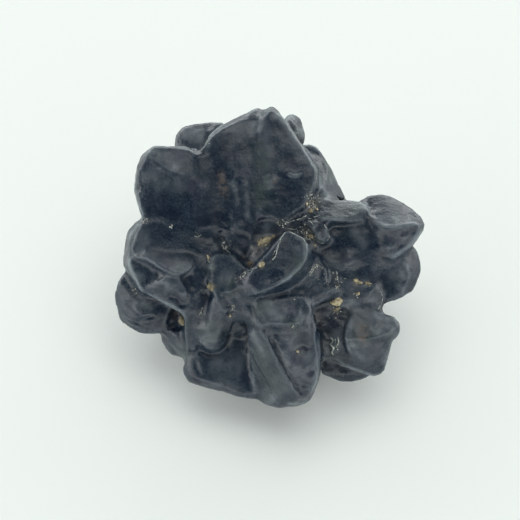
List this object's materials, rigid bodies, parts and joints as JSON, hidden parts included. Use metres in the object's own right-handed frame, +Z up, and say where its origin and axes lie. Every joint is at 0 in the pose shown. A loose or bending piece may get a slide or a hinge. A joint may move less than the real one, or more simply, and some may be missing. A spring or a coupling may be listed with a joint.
{
  "type": "mineral specimen",
  "caption": "Globular cluster of dark knobby blunt crystals grown from one centre, lying on three small flat feet.",
  "frame": {"origin": "middle of the bounding box in plan, at the surface the stone lies on", "axes": "+Z up, square to the surface the stone lies on; -Y to the side that the good face leans towards; +X to the right of someone looking at that face"},
  "size_m": [0.0463, 0.0425, 0.034],
  "materials": {
    "iron_oxide": "satin"
  },
  "bodies": {
    "root": {"prophecy_stone": "iron_oxide"}
  },
  "joints": []
}
